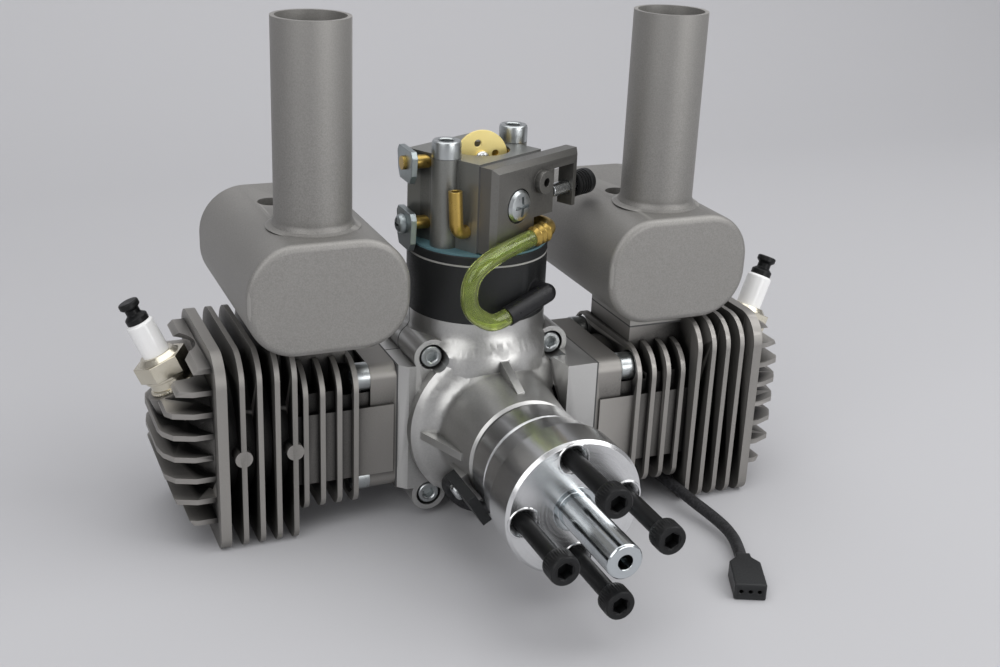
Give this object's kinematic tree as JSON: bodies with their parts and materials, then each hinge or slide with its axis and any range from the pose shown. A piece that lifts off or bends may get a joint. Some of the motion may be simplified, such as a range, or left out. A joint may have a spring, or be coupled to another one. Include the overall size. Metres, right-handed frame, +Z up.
{
  "type": "flat twin aircraft engine",
  "caption": "Flat twin-cylinder two-stroke engine for model aircraft with finned cylinders, twin can mufflers with upright outlet stacks, top carburettor and bolted propeller hub.",
  "frame": {"origin": "centre of the propeller hub's front face, on the crank axis", "axes": "+Y to the rear along the crank axis, the propeller shaft points to -Y; +X to the right-hand cylinder; +Z up"},
  "size_m": [0.2076, 0.1417, 0.1506],
  "materials": {
    "cast_aluminium": "satin",
    "cylinder_casting": "matte",
    "blasted_aluminium": "matte",
    "turned_aluminium": "polished",
    "zinc_steel": "satin",
    "bearing_steel": "polished",
    "nickel_steel": "satin",
    "black_oxide": "satin",
    "brass": "satin",
    "carb_zinc": "satin",
    "ceramic": "gloss",
    "black_plastic": "matte",
    "paper_gasket": "matte",
    "blue_gasket": "matte",
    "green_tube": "gloss",
    "black_rubber": "satin"
  },
  "bodies": {
    "engine": {"crankcase_front": "cast_aluminium", "crankcase_rear": "cast_aluminium", "case_gasket": "paper_gasket", "case_screws": "zinc_steel", "bearing_outer_rings": "bearing_steel", "crank_seal": "black_rubber", "cylinder_left": "cylinder_casting", "cylinder_right": "cylinder_casting", "base_gaskets": "paper_gasket", "cylinder_screws": "zinc_steel", "plug_shells": "nickel_steel", "plug_insulators": "ceramic", "plug_terminals": "black_oxide", "muffler_left": "blasted_aluminium", "muffler_right": "blasted_aluminium", "exhaust_gaskets": "paper_gasket", "muffler_screws": "zinc_steel", "carb_spacer": "black_plastic", "spacer_gasket": "paper_gasket", "spacer_plate": "black_plastic", "carb_gasket": "blue_gasket", "reed_valve": "black_plastic", "carb_screws": "zinc_steel", "carb_body": "carb_zinc", "pump_gasket": "paper_gasket", "pump_cover": "carb_zinc", "fuel_nipple": "brass", "pulse_elbow": "brass", "pulse_nipple": "black_rubber", "pulse_tube": "green_tube", "idle_spring": "black_oxide", "hall_sensor": "black_plastic", "sensor_cable": "black_rubber", "sensor_plug": "black_plastic"},
    "crank": {"crankshaft_front": "zinc_steel", "crank_centre_web": "bearing_steel", "crankshaft_rear": "bearing_steel", "prop_hub": "turned_aluminium", "hub_magnet": "nickel_steel", "prop_bolts": "black_oxide", "bearing_inner_rings": "bearing_steel"},
    "left_piston": {"piston_left": "cast_aluminium", "piston_ring_left": "bearing_steel", "wrist_pin_left": "bearing_steel", "connecting_rod_left": "bearing_steel", "crankpin_left": "bearing_steel"},
    "right_piston": {"piston_right": "cast_aluminium", "piston_ring_right": "bearing_steel", "wrist_pin_right": "bearing_steel", "connecting_rod_right": "bearing_steel", "crankpin_right": "bearing_steel"},
    "choke": {"choke_shaft": "brass", "choke_disc": "brass", "choke_lever": "zinc_steel"},
    "throttle": {"throttle_shaft": "brass", "throttle_plate": "brass", "throttle_lever": "zinc_steel"},
    "idle_adjuster": {"idle_screw": "black_plastic"},
    "low_speed_needle": {"low_needle": "brass"},
    "high_speed_needle": {"high_needle": "brass"}
  },
  "joints": [
    {"name": "crank_spin", "type": "hinge", "parent": "engine", "child": "crank", "pos_m": [0, 0, 0], "axis": [0, 1, 0], "continuous": true},
    {"name": "left_piston_slide", "type": "slide", "parent": "engine", "child": "left_piston", "axis": [1, 0, 0], "range_m": [0, 0.025]},
    {"name": "right_piston_slide", "type": "slide", "parent": "engine", "child": "right_piston", "axis": [-1, 0, 0], "range_m": [0, 0.025]},
    {"name": "choke_turn", "type": "hinge", "parent": "engine", "child": "choke", "pos_m": [0, 0.0745, 0.0773], "axis": [1, 0, 0], "range_deg": [0, 88]},
    {"name": "throttle_turn", "type": "hinge", "parent": "engine", "child": "throttle", "pos_m": [0, 0.0745, 0.0592], "axis": [1, 0, 0], "range_deg": [0, 78], "stiffness_Nm_per_rad": 0.004, "springref_deg": -17.19},
    {"name": "idle_screw_turn", "type": "hinge", "parent": "engine", "child": "idle_adjuster", "pos_m": [0.03379, 0.07468, 0.0678], "axis": [0.8854, 0.4648, 0], "range_deg": [-360, 360]},
    {"name": "low_needle_turn", "type": "hinge", "parent": "engine", "child": "low_speed_needle", "pos_m": [0.00733, 0.08851, 0.062], "axis": [0.8854, 0.4648, 0], "range_deg": [-360, 360]},
    {"name": "high_needle_turn", "type": "hinge", "parent": "engine", "child": "high_speed_needle", "pos_m": [0.00733, 0.08851, 0.07], "axis": [0.8854, 0.4648, 0], "range_deg": [-360, 360]}
  ],
  "couplings": [
    {"joint": "right_piston_slide", "follows": "left_piston_slide", "ratio": 1}
  ]
}
